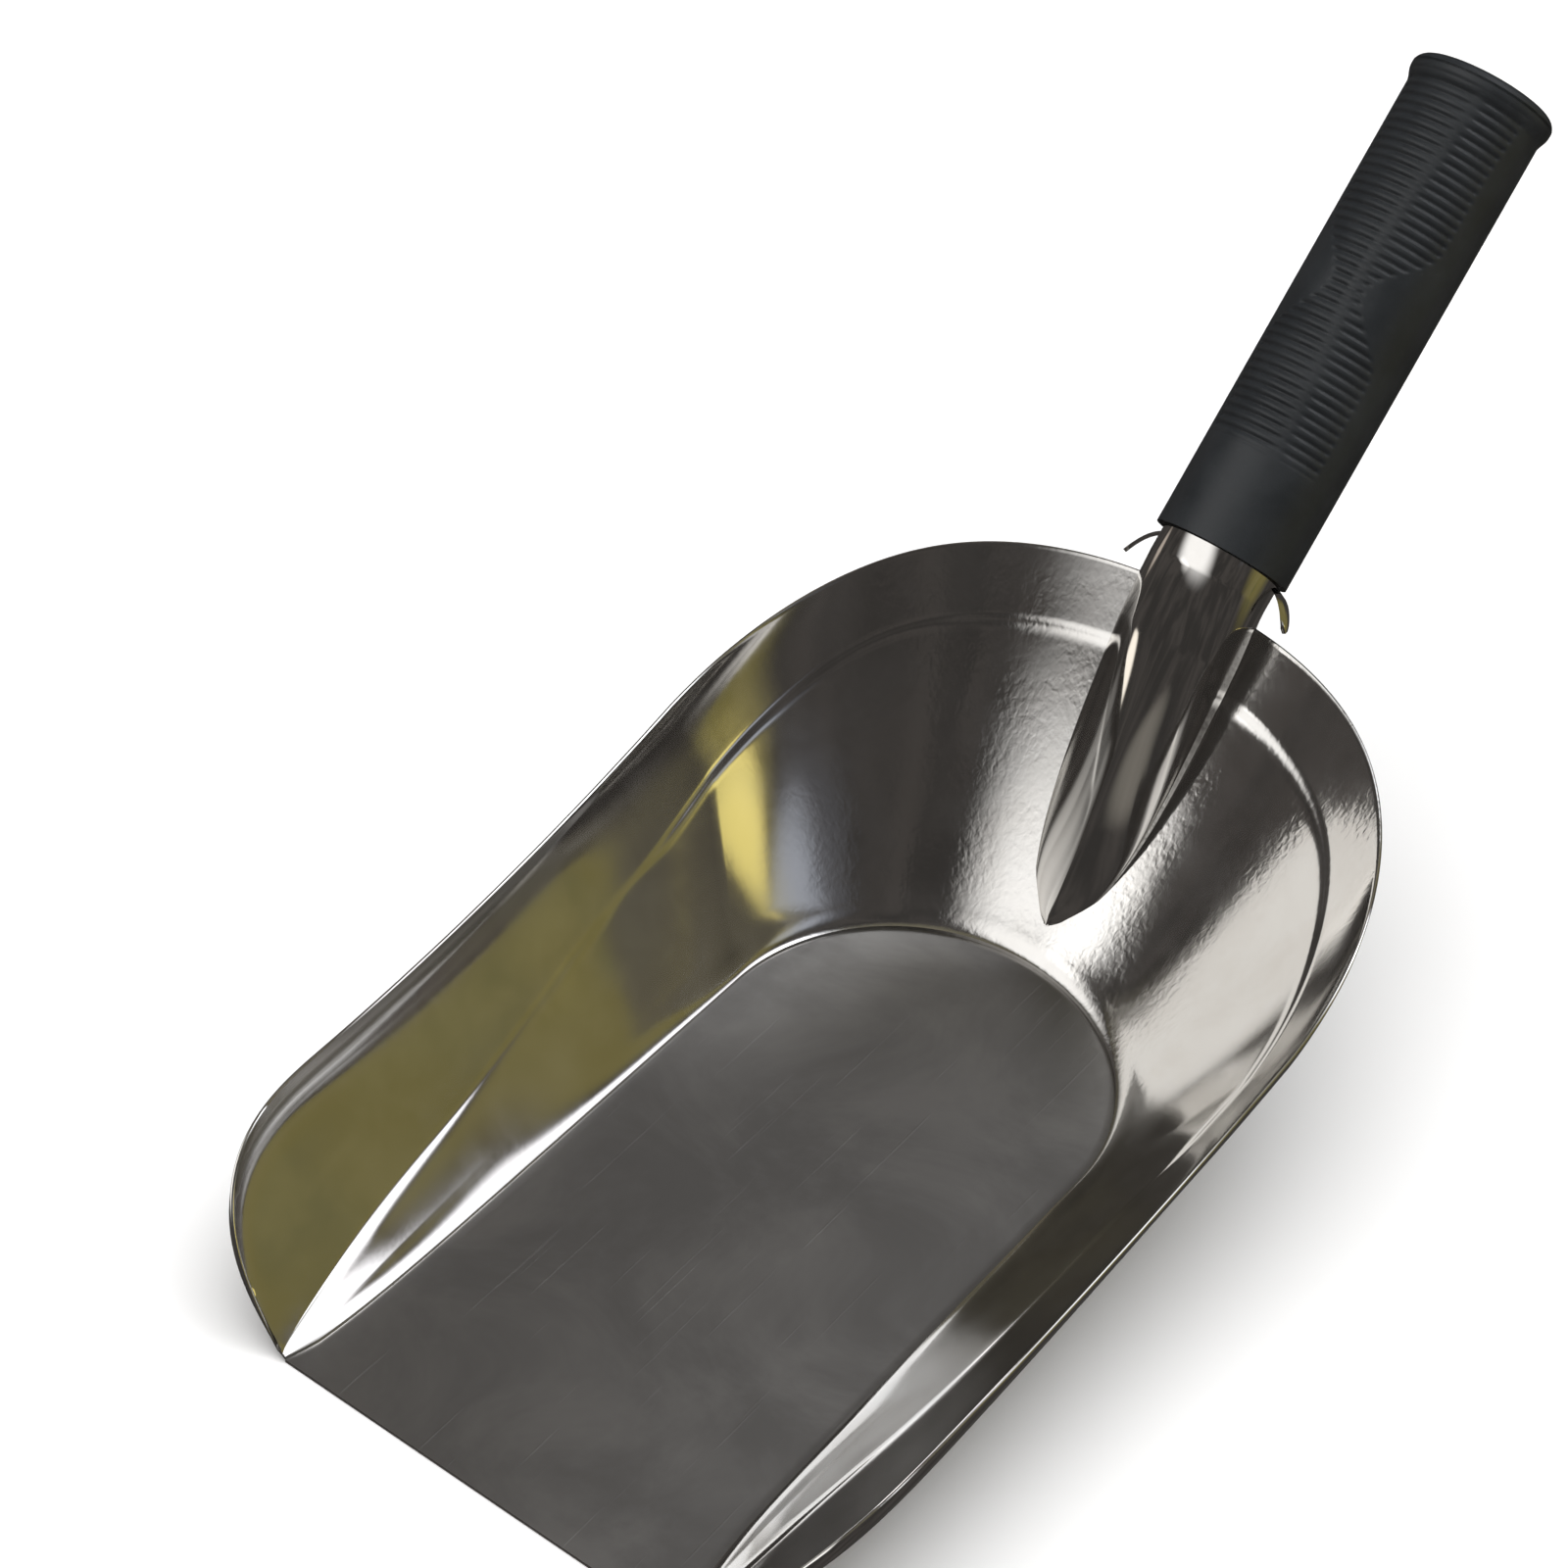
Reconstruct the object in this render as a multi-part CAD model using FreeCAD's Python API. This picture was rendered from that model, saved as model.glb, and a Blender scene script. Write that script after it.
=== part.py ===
import FreeCAD, Part
import math
import os

# Grain scoop shovel: a pressed sheet-steel pan, a formed steel handle socket welded into the
# pan's back wall, and a moulded rubber grip pushed over the socket's tube.
# Millimetres. While it is built, the front lip is at y = 0, the handle runs towards +y, z is up
# and the inside of the pan's floor is at z = 0; the finished parts are then moved so that the
# origin is at the bottom centre of the whole tool. Everything is symmetric about x = 0.

V = FreeCAD.Vector

# sheet
PAN_SHEET = 0.9            # thickness of the pan
SOCKET_SHEET = 1.0         # thickness of the socket

# floor of the pan: straight sides that spread a little at the lip, and a half-round back
FLOOR_HALF_WIDTH = 49.4
LIP_SPREAD = 3.3           # extra half width at the lip
LIP_SPREAD_DECAY = 17.5    # distance over which the spread dies out
FLOOR_STRAIGHT = 152.5     # length of the straight sides
FLOOR_BACK_DEPTH = 51.1    # from the end of the straight sides to the back of the floor
FLOOR_BEND = 1.6           # half width of the rounded bend along the floor's edge

# crease between the lower wall and the flange or wing above it
CREASE_LIP_HALF_WIDTH = 53.5
CREASE_HALF_WIDTH = 74.9
CREASE_STRAIGHT = 172.0
CREASE_BACK_DEPTH = 79.4
CREASE_SPREAD_POWER = 0.72
CREASE_HEIGHTS = ((0, 0.6), (35, 7.8), (70, 12.0), (100, 18.3), (130, 25.8), (155, 30.2),
                  (190, 42.4), (222, 56.2), (251, 61.5))
CREASE_BEND = 2.2          # half width of the rounded bend along the crease

# rim: rounded wing corners at the front, gently rising sides and a high back
RIM_SIDE_HALF_WIDTH = 81.2
RIM_HALF_WIDTH = 84.7
RIM_STRAIGHT = 168.0
RIM_BACK_DEPTH = 93.0
RIM_SIDE_HEIGHT = 40.0
RIM_BACK_HEIGHT = 76.0
RIM_RISE_START = 40.0
RIM_RISE_LENGTH = 203.0
WING_CORNER_LENGTH = 45.0  # length of the rounded corner at the front of each wing
WING_CORNER_POWER = 3.0
WING_CORNER_SHARE = 0.33   # share of the side stations spent on that corner
RIM_LIP_START = V(1.6, 0, 1.4)  # the wing's first width, outside the floor's front corner
BACK_POWER = 2.2           # roundness of the crease and the rim round the back
WALL_HOLLOW = 0.025        # depth of the wall's hollow over its width
WING_HOLLOW = 0.05

# handle: straight tube at an angle, whose axis passes through AXIS_POINT
HANDLE_PITCH = 42.9        # degrees above the floor
AXIS_POINT = V(0, 185.6, 15.5)
TUBE_RADIUS = 15.0
GRIP_START = 106.1         # along the axis from AXIS_POINT
GRIP_END = 231.8
TUBE_END = 225.0
ROUND_FROM = 100.0         # the tube is fully round from here on
NOSE = V(0, 209.5, 7.5)    # where the socket's nose lies on the back wall
NOSE_HALF_WIDTH = 3.6
NOSE_TIP = 3.0             # length of the rounded tip
NOSE_CREST = 1.2           # height of the crest at the nose
NOSE_LEAST_WIDTH = 0.45    # share of its width that the rounded tip starts with
HOLLOW_FROM = 0.012        # share of the socket's length left solid at the nose
WIDTH_GROWTH = 26.0        # distance over which the socket widens
CREST_POWER = 1.45         # how the crest rises from the nose to the tube
CREST_SHARPNESS = 1.25     # 1 is a plain V, 2 is round
CREST_ROUND_FROM = 0.8     # share of the socket's length where the crest has become round
SEAT_SHARPNESS = 6.0       # the channel's square foot on the wall, which becomes round too
LEAST_HEIGHT = 0.3         # of the inside above or below the widest line
THROUGH_FROM = 0.62        # share of the socket's length where the tube starts to pass the wall
NOTCH_FROM = 0.66          # share from which the wall is cut away for it
WALL_SEARCH = (-0.2, 1.3)  # shares of the wall's height between which the socket's foot is sought
SEAM_START = 101.0
SEAM_GAP = 0.8             # open seam under the tube
SEAM_WELD_RADIUS = 1.6     # filled by a weld where the grip doesn't hide it
SEAM_WELD_SINK = 0.3       # how far the bead's middle lies inside the tube's surface
FLANK_WELD_RADIUS = 1.5
FLANK_WELD_ENDS = 0.35     # share of its radius at either end, which grows by 0.3 at each stop
WELD_WALL_STOPS = [0.30 + 0.70 * k / 8 for k in range(9)]  # shares of the way up the wall
WELD_FLANGE_STOPS = [0.25, 0.6, 0.95]                      # shares of the way up the flange

# rubber grip
GRIP_RADIUS = 17.0
GRIP_FLARE_RADIUS = 18.2
GRIP_FLARE_LENGTH = 7.0
GRIP_EDGE_ROUND = 1.0
GRIP_CROWN = 1.8           # rise of the closed end's middle
GRIP_END_RIM = 1.6

SIDE_STATIONS = 14
BACK_STATIONS = 14
SECTION_POINTS = 36
SOCKET_SECTIONS = 11
HALVINGS = 40              # steps of each search by halving

PITCH = math.radians(HANDLE_PITCH)
ALONG = V(0, math.cos(PITCH), math.sin(PITCH))
ABOVE = V(0, -math.sin(PITCH), math.cos(PITCH))


def axis_at(distance):
    return AXIS_POINT + ALONG * distance


def through(points, at):
    """Smooth curve through (position, value) pairs, read at one position."""
    at = min(max(at, points[0][0]), points[-1][0])
    i = max(k for k in range(len(points) - 1) if points[k][0] <= at or k == 0)

    def slope(k):
        low, high = max(k - 1, 0), min(k + 1, len(points) - 1)
        return (points[high][1] - points[low][1]) / (points[high][0] - points[low][0])

    (p0, v0), (p1, v1) = points[i], points[i + 1]
    span = p1 - p0
    s = (at - p0) / span
    return (v0 * (2 * s**3 - 3 * s**2 + 1) + v1 * (3 * s**2 - 2 * s**3)
            + slope(i) * span * (s**3 - 2 * s**2 + s) + slope(i + 1) * span * (s**3 - s**2))


def corner(angle, half_width, depth, power):
    """Point of a rounded corner, as (x, y) from its centre, at an angle from the side."""
    c, s = math.cos(angle), math.sin(angle)
    reach = ((abs(c) / half_width)**power + (abs(s) / depth)**power) ** (-1 / power)
    return reach * c, reach * s


def rim_height(y):
    rise = max(y - RIM_RISE_START, 0) / RIM_RISE_LENGTH
    share = rise**2 / (1 + rise**24) ** (1 / 12)
    return RIM_SIDE_HEIGHT + (RIM_BACK_HEIGHT - RIM_SIDE_HEIGHT) * share


def floor_half_width(y):
    return FLOOR_HALF_WIDTH + LIP_SPREAD * math.exp(-y / LIP_SPREAD_DECAY)


def side_lines(share):
    """Floor edge, crease and rim along the side: share is 0 at the lip, 1 at the back corner."""
    y = FLOOR_STRAIGHT * share
    edge = V(floor_half_width(y), y, 0)
    y = CREASE_STRAIGHT * share
    spread = (CREASE_HALF_WIDTH - CREASE_LIP_HALF_WIDTH) * share**CREASE_SPREAD_POWER
    crease = V(CREASE_LIP_HALF_WIDTH + spread, y, through(CREASE_HEIGHTS, y))
    if share < WING_CORNER_SHARE:
        angle = math.pi / 2 * share / WING_CORNER_SHARE
        back, growth = corner(angle, 1, 1, WING_CORNER_POWER)
        y = WING_CORNER_LENGTH * (1 - back)
    else:
        growth = 1
        rest = (share - WING_CORNER_SHARE) / (1 - WING_CORNER_SHARE)
        y = WING_CORNER_LENGTH + (RIM_STRAIGHT - WING_CORNER_LENGTH) * rest
    full = RIM_SIDE_HALF_WIDTH + (RIM_HALF_WIDTH - RIM_SIDE_HALF_WIDTH) * (y / RIM_STRAIGHT)**1.5
    start = V(floor_half_width(0), 0, 0) + RIM_LIP_START
    rim = V(start.x + (full - start.x) * growth, y, start.z + (rim_height(y) - start.z) * growth)
    return edge, crease, rim


def back_lines(angle):
    """Floor edge, crease and rim round the back: angle is 0 at the side, 90 degrees at x = 0."""
    x, y = corner(angle, FLOOR_HALF_WIDTH, FLOOR_BACK_DEPTH, 2)
    edge = V(x, FLOOR_STRAIGHT + y, 0)
    x, y = corner(angle, CREASE_HALF_WIDTH, CREASE_BACK_DEPTH, BACK_POWER)
    y += CREASE_STRAIGHT
    crease = V(x, y, through(CREASE_HEIGHTS, y))
    x, y = corner(angle, RIM_HALF_WIDTH, RIM_BACK_DEPTH, BACK_POWER)
    y += RIM_STRAIGHT
    return edge, crease, V(x, y, rim_height(y))


def hollowed(start, end, share, depth):
    """Point between two lines of the section, with the strip's shallow hollow."""
    chord = end - start
    sideways = V(chord.x, chord.y, 0)
    outward = sideways * chord.z - V(0, 0, 1) * sideways.dot(sideways)
    if outward.Length < 1e-9:
        return start + chord * share
    outward.normalize()
    return start + chord * share + outward * (4 * share * (1 - share) * depth * chord.Length)


def section(edge, crease, rim):
    """The seven points of one section, from the floor to the rim, with its bends cut across."""
    wall, wing = (crease - edge).Length, (rim - crease).Length
    inward = V(-edge.x, FLOOR_STRAIGHT - edge.y if edge.y > FLOOR_STRAIGHT else 0, 0)
    inward.normalize()
    bend = min(FLOOR_BEND, 0.3 * wall)
    fold = min(CREASE_BEND, 0.3 * wall, 0.3 * wing)
    return [edge + inward * bend,
            hollowed(edge, crease, bend / wall, WALL_HOLLOW),
            hollowed(edge, crease, 0.5, WALL_HOLLOW),
            hollowed(edge, crease, 1 - fold / wall, WALL_HOLLOW),
            hollowed(crease, rim, fold / wing, WING_HOLLOW),
            hollowed(crease, rim, 0.5, WING_HOLLOW),
            rim]


def inner_sections():
    half = [section(*side_lines(k / SIDE_STATIONS)) for k in range(SIDE_STATIONS)]
    half += [section(*back_lines(math.pi / 2 * k / BACK_STATIONS)) for k in range(BACK_STATIONS + 1)]
    half[0] = [V(p.x, 0, p.z) for p in half[0]]
    mirrored = [[V(-p.x, p.y, p.z) for p in points] for points in reversed(half[:-1])]
    return half + mirrored


def outer_sections(inner):
    """The same sections on the underside, one sheet thickness away."""
    last, top = len(inner) - 1, len(inner[0]) - 1

    def strip_normal(k, j):
        before, after = inner[max(k - 1, 0)], inner[min(k + 1, last)]
        along = (after[j] + after[j + 1]) - (before[j] + before[j + 1])
        normal = along.cross(inner[k][j + 1] - inner[k][j])
        normal.normalize()
        return normal if normal.z < 0 else normal * -1

    outer = []
    for k in range(last + 1):
        normals = [V(0, 0, -1)] + [strip_normal(k, j) for j in range(top)]
        normals.append(normals[-1])
        moved = []
        for j in range(top + 1):
            below, over = normals[j], normals[j + 1]
            moved.append(inner[k][j] + (below + over) * (PAN_SHEET / (1 + below.dot(over))))
        if k in (0, last):
            moved = [V(p.x, 0, p.z) for p in moved]
        outer.append(moved)
    return outer


def line_through(points):
    curve = Part.BSplineCurve()
    curve.interpolate(Points=points, Parameters=[float(k) for k in range(len(points))])
    return curve.toShape()


def make_pan():
    inner = inner_sections()
    outer = outer_sections(inner)
    inner_lines = [line_through([points[j] for points in inner]) for j in range(len(inner[0]))]
    outer_lines = [line_through([points[j] for points in outer]) for j in range(len(inner[0]))]
    faces = []
    for lines in (inner_lines, outer_lines):
        faces += [Part.makeRuledSurface(a, b) for a, b in zip(lines, lines[1:])]
    faces.append(Part.makeRuledSurface(inner_lines[-1], outer_lines[-1]))
    for sections, lines in ((inner, inner_lines), (outer, outer_lines)):
        lip = Part.makeLine(sections[-1][0], sections[0][0])
        faces.append(Part.Face(Part.Wire([lines[0], lip])))
    around = list(reversed(inner[0])) + inner[-1] + list(reversed(outer[-1])) + outer[0]
    faces.append(Part.Face(Part.makePolygon(around + [around[0]])))
    shell = Part.Shell(faces)
    shell.sewShape()
    pan = Part.Solid(shell)
    if pan.Volume < 0:
        pan.reverse()
    return pan


# The socket is a sheet channel that lies on the wall, with a V-shaped crest, and grows into a
# round tube. Each of its sections has a widest line, a crest above it and a depth below it.

SPINE = (NOSE, NOSE + V(0, 15.4, 19.7), axis_at(ROUND_FROM - 25), axis_at(ROUND_FROM))
SOCKET_LENGTH = (SPINE[3] - SPINE[0]).Length


def spine_at(t):
    """Point on the socket's widest line, its heading, and the direction up from the wall."""
    a, b, c, d = SPINE
    point = a * (1 - t)**3 + b * (3 * t * (1 - t)**2) + c * (3 * t**2 * (1 - t)) + d * t**3
    heading = (b - a) * (1 - t)**2 + (c - b) * (2 * t * (1 - t)) + (d - c) * t**2
    heading.normalize()
    return point, heading, V(0, -heading.z, heading.y)


def wall_gap(point, heading, up):
    """Distance from a point above the back wall's middle line, straight down to the wall."""
    edge, crease, _ = back_lines(math.pi / 2)
    low, high = WALL_SEARCH
    for _ in range(HALVINGS):
        share = (low + high) / 2
        below = hollowed(edge, crease, share, WALL_HOLLOW)
        if (below - point).dot(heading) < 0:
            low = share
        else:
            high = share
    return (point - below).dot(up)


def smooth(share):
    share = min(max(share, 0), 1)
    return share**2 * (3 - 2 * share)


def socket_size(t):
    """Half width, crest height and its power, depth and its power, and how closed it is."""
    travelled = t * SOCKET_LENGTH
    half_width = TUBE_RADIUS
    half_width -= (TUBE_RADIUS - NOSE_HALF_WIDTH) * math.exp(-travelled / WIDTH_GROWTH) * (1 - t)
    if travelled < NOSE_TIP:
        half_width *= max(math.sqrt(1 - (1 - travelled / NOSE_TIP)**2), NOSE_LEAST_WIDTH)
    crest = NOSE_CREST + (TUBE_RADIUS - NOSE_CREST) * t**CREST_POWER
    crest_power = CREST_SHARPNESS + (2 - CREST_SHARPNESS) * min(t / CREST_ROUND_FROM, 1)**1.5
    closed = smooth((t - THROUGH_FROM) / (1 - THROUGH_FROM))
    on_wall = max(wall_gap(*spine_at(t)), 0) + 0.5 * PAN_SHEET
    depth = on_wall + (TUBE_RADIUS - on_wall) * closed
    depth_power = SEAT_SHARPNESS + (2 - SEAT_SHARPNESS) * closed
    return half_width, crest, crest_power, depth, depth_power, closed


def socket_wire(t, inset):
    """Closed outline of the socket at a share t of the way from the nose to the round tube.

    With an inset it is the inside's outline, which is open to the wall where the socket
    lies on it and closed where the tube passes through the wall.
    """
    point, _, up = spine_at(t)
    half_width, crest, crest_power, depth, depth_power, closed = socket_size(t)
    if inset:
        depth += SOCKET_SHEET * (1 - 2 * smooth(6 * closed))
    points = []
    for k in range(SECTION_POINTS):
        angle = 2 * math.pi * k / SECTION_POINTS
        height, power = (crest - inset, crest_power) if math.sin(angle) > 0 else (depth, depth_power)
        x, z = corner(angle, 1, 1, power)
        points.append(point + V(x * (half_width - inset), 0, 0) + up * (z * max(height, LEAST_HEIGHT)))
    outline = Part.BSplineCurve()
    outline.interpolate(Points=points, PeriodicFlag=True)
    return Part.Wire([outline.toShape()])


def socket_body(inset, first, end):
    """Solid of the socket's outside, or of its inside with an inset, from a share to the end."""
    shares = [first + (1 - first) * k / (SOCKET_SECTIONS - 1) for k in range(SOCKET_SECTIONS)]
    cone = Part.makeLoft([socket_wire(t, inset) for t in shares], True, False)
    tube = Part.Face(socket_wire(1, inset)).extrude(ALONG * (end - ROUND_FROM))
    return cone.fuse(tube)


def largest(shape):
    return max(shape.Solids, key=lambda solid: solid.Volume)


def tube_slot(start, end):
    """Narrow slab under the tube's axis, from one distance along it to another."""
    slab = Part.makeBox(SEAM_GAP, end - start, 2 * TUBE_RADIUS)
    slab.translate(V(-SEAM_GAP / 2, 0, -2 * TUBE_RADIUS))
    slab.rotate(V(0, 0, 0), V(1, 0, 0), HANDLE_PITCH)
    slab.translate(axis_at(start))
    return slab


def make_socket(pan):
    shell = socket_body(0, 0.0, TUBE_END).cut(socket_body(SOCKET_SHEET, HOLLOW_FROM, TUBE_END + 1))
    return largest(shell.cut(pan).cut(tube_slot(SEAM_START, TUBE_END + 1)))


def overlap_width(point):
    """How far a point of the pan lies inside the socket's side, and the direction up there."""
    low, high = 0.0, 1.0
    for _ in range(HALVINGS):
        t = (low + high) / 2
        place, heading, up = spine_at(t)
        if (point - place).dot(heading) > 0:
            low = t
        else:
            high = t
    half_width, crest, crest_power, depth, depth_power, _ = socket_size(t)
    height = (point - place).dot(up)
    reach, power = (crest, crest_power) if height > 0 else (depth, depth_power)
    share = min(abs(height) / reach, 1)
    return half_width * (1 - share**power) ** (1 / power) - abs(point.x), up


def meeting_point(share, on_flange):
    """Where the socket's side meets the wall or the flange, at a share of the way up it."""
    low, high = math.radians(50), math.pi / 2
    for _ in range(HALVINGS):
        angle = (low + high) / 2
        edge, crease, rim = back_lines(angle)
        if on_flange:
            point = hollowed(crease, rim, share, WING_HOLLOW)
        else:
            point = hollowed(edge, crease, share, WALL_HOLLOW)
        width, up = overlap_width(point)
        if width > 0:
            high = angle
        else:
            low = angle
    return point, up


def make_flank_welds():
    """Two slim fillet beads, one along each side of the socket, from low on the wall to the rim."""
    stops = [(share, False) for share in WELD_WALL_STOPS]
    stops += [(share, True) for share in WELD_FLANGE_STOPS]
    beads = []
    for side in (1, -1):
        sections = []
        for k, (share, on_flange) in enumerate(stops):
            root, up = meeting_point(share, on_flange)
            from_end = min(k, len(stops) - 1 - k)
            size = FLANK_WELD_RADIUS * min(1, FLANK_WELD_ENDS + 0.3 * from_end)
            corners = [root, root + V(size, 0, 0), root + up * size]
            corners = [V(side * p.x, p.y, p.z) for p in corners]
            sections.append(Part.makePolygon(corners + [corners[0]]))
        bead = Part.makeLoft(sections, True, True)
        beads.append(bead if bead.Volume > 0 else bead.reversed())
    return beads


def make_seam_weld():
    """Bead that fills the tube's seam, from the pan's back to the rubber grip."""
    bead = Part.makeCylinder(SEAM_WELD_RADIUS, GRIP_START - SEAM_START,
                             axis_at(SEAM_START) - ABOVE * (TUBE_RADIUS - SEAM_WELD_SINK), ALONG)
    fill = tube_slot(SEAM_START, GRIP_START)
    ring = Part.makeCylinder(TUBE_RADIUS, GRIP_START - SEAM_START, axis_at(SEAM_START), ALONG)
    bore = Part.makeCylinder(TUBE_RADIUS - SOCKET_SHEET, GRIP_START - SEAM_START,
                             axis_at(SEAM_START), ALONG)
    return bead.cut(ring).fuse(fill.common(ring).cut(bore)).removeSplitter()


def make_grip():
    """Moulded sleeve with a flared, closed end, revolved about the handle's axis."""
    reach = GRIP_END - GRIP_START
    bore_end = TUBE_END - GRIP_START
    outline = [V(TUBE_RADIUS, 0, 0), V(GRIP_RADIUS - GRIP_EDGE_ROUND, 0, 0),
               V(GRIP_RADIUS, 0, GRIP_EDGE_ROUND), V(GRIP_RADIUS, 0, reach - GRIP_FLARE_LENGTH),
               V(GRIP_FLARE_RADIUS, 0, reach - 2.5 * GRIP_END_RIM),
               V(GRIP_FLARE_RADIUS, 0, reach - GRIP_END_RIM - GRIP_CROWN / 2),
               V(GRIP_FLARE_RADIUS - GRIP_END_RIM, 0, reach - GRIP_CROWN / 2),
               V(GRIP_FLARE_RADIUS / 2, 0, reach), V(0, 0, reach), V(0, 0, bore_end),
               V(TUBE_RADIUS, 0, bore_end)]
    profile = Part.Face(Part.makePolygon(outline + [outline[0]]))
    sleeve = profile.revolve(V(0, 0, 0), V(0, 0, 1), 360)
    sleeve.rotate(V(0, 0, 0), V(1, 0, 0), HANDLE_PITCH - 90)
    sleeve.translate(axis_at(GRIP_START))
    return sleeve


def main():
    pan = make_pan()
    pan = largest(pan.cut(socket_body(0, NOTCH_FROM, TUBE_END)))
    socket = make_socket(pan)
    parts = {"scoop_pan": pan, "handle_socket": socket,
             "flank_welds": Part.makeCompound(make_flank_welds()),
             "seam_weld": make_seam_weld(), "rubber_grip": make_grip()}
    box = Part.makeCompound(list(parts.values())).optimalBoundingBox()
    place = V(0, -(box.YMin + box.YMax) / 2, PAN_SHEET)
    os.makedirs("parts", exist_ok=True)
    for name, shape in parts.items():
        shape.translate(place)
        shape.exportStep(f"parts/{name}.step")
        print(name, shape.isValid(), len(shape.Solids), round(shape.Volume), "mm3")
    print("lip at y", round(place.y, 3), "size", box.XLength, box.YLength, box.ZLength)


main()
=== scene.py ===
"""Grain scoop shovel: polished steel pan, mirror-polished handle socket and ribbed rubber grip.

Dimensions are in millimetres, in the pan's own frame: the front lip is at y = 0, the handle runs
towards +y, z is up and the inside of the pan's floor is at z = 0. place() moves them to the model.
"""
import math

import bpy
import numpy as np
from mathutils import Matrix, Vector


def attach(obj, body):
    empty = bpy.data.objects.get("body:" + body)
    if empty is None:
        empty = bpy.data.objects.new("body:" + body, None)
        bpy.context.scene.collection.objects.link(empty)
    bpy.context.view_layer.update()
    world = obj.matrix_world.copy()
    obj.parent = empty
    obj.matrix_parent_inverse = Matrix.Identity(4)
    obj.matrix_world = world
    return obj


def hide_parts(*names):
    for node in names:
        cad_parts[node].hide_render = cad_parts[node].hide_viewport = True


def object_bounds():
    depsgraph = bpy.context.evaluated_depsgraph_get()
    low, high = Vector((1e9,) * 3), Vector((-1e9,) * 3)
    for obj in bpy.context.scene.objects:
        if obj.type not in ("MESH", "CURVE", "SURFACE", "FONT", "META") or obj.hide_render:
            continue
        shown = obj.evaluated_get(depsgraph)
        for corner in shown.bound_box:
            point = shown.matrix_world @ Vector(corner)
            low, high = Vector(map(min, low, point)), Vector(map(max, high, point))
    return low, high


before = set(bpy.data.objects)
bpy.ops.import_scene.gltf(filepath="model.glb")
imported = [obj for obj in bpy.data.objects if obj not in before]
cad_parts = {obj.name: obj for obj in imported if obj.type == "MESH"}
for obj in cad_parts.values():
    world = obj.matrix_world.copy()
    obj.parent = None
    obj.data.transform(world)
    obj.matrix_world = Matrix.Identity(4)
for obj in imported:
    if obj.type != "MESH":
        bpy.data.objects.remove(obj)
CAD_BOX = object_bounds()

MM = 0.001
LIP_Y = CAD_BOX[0][1]

# ---------------------------------------------------------------- dimensions
PAN_SHEET = 0.9
FLOOR_HALF_WIDTH = 49.4
LIP_SPREAD = 3.3
LIP_SPREAD_DECAY = 17.5
FLOOR_STRAIGHT = 152.5
FLOOR_BACK_DEPTH = 51.1
COVE_ON_FLOOR = 1.6
COVE_ON_WALL = 7.0
COVE_MOST_OF_WALL = 0.3
CREASE_LIP_HALF_WIDTH = 53.5
CREASE_HALF_WIDTH = 74.9
CREASE_STRAIGHT = 172.0
CREASE_BACK_DEPTH = 79.4
CREASE_SPREAD_POWER = 0.72
CREASE_HEIGHTS = ((0, 0.6), (35, 7.8), (70, 12.0), (100, 18.3), (130, 25.8), (155, 30.2),
                  (190, 42.4), (222, 56.2), (251, 61.5))
CREASE_BEND = 1.3
CREASE_BEND_MOST_OF_WALL, CREASE_BEND_MOST_OF_WING = 0.1, 0.3
ROLL_WIDTH = 4.5
ROLL_MOST_OF_WALL = 0.35
ROLL_TILT = 0.42
ROLL_SOFTENING = 0.65
ROLL_SOFT_FROM, ROLL_SOFT_TO = 45, 165
ROLL_SOFT_ONSET, ROLL_SOFT_END = 40, 30
RIM_SIDE_HALF_WIDTH = 81.2
RIM_HALF_WIDTH = 84.7
RIM_STRAIGHT = 168.0
RIM_BACK_DEPTH = 93.0
RIM_SIDE_HEIGHT = 40.0
RIM_BACK_HEIGHT = 76.0
RIM_RISE_START = 40.0
RIM_RISE_LENGTH = 203.0
RIM_RISE_POWER = 2
RIM_LEVEL_POWER = 24
RIM_SPREAD_POWER = 1.5
WING_CORNER_LENGTH = 45.0
WING_CORNER_POWER = 3.0
WING_CORNER_SHARE = 0.33
RIM_LIP_START = np.array((1.6, 0, 1.4))
BACK_POWER = 2.2
WALL_HOLLOW = 0.025
WING_FLARE = 0.13
WING_FLARE_FADE = 1.6
WING_TURN_POWER = 4.6
FRONT_TURN_POWER, FRONT_TURN_DECAY = 14.0, 45.0

HANDLE_PITCH = 42.9
AXIS_POINT = np.array((0, 185.6, 15.5))
TUBE_RADIUS = 15.0
TUBE_SHEET = 1.0
GRIP_START = 106.1
GRIP_END = 231.8
TUBE_END = 225.0
ROUND_FROM = 100.0
NOSE = np.array((0, 209.5, 7.5))
NOSE_HALF_WIDTH = 3.6
NOSE_TIP = 3.0
NOSE_LEAST_WIDTH = 0.45
NOSE_CREST = 1.2
WIDTH_GROWTH = 26.0
CREST_POWER = 1.45
CREST_SHARPNESS = 1.16
CREST_ROUND_AT, CREST_ROUNDING = 0.8, 2.2
THROUGH_FROM = 0.62
SEAT_POWER = 6

GRIP_RADIUS = 17.0
GRIP_FLARE_RADIUS = 18.1
GRIP_FLARE_LENGTH, GRIP_FLARE_ONSET = 9.0, 4.0
GRIP_EDGE = 0.9
GRIP_MOUTH = (0.15, 0.35)       # how far in and how much wider than the tube
GRIP_END_ROUND, GRIP_END_DOME = 2.6, 1.8
RIB_PITCH = 2.35
RIB_DEPTH = 0.5
RIBS_FROM, RIBS_TO = 0.185, 0.955
RIBS_HALF_ANGLE, RIBS_END_WIDENING = 57, 8
PANEL_NARROWING, PANEL_MIDDLE, PANEL_LENGTH = 40, 0.525, 0.14
UNDER_RIBS_FROM, RIB_FADE = 125, 5
SEAM_TURN, SEAM_WAVE, SEAM_WAVES, SEAM_WIDTH, SEAM_SHARE = 12, 7, 1.3, 7, 0.7

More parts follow.
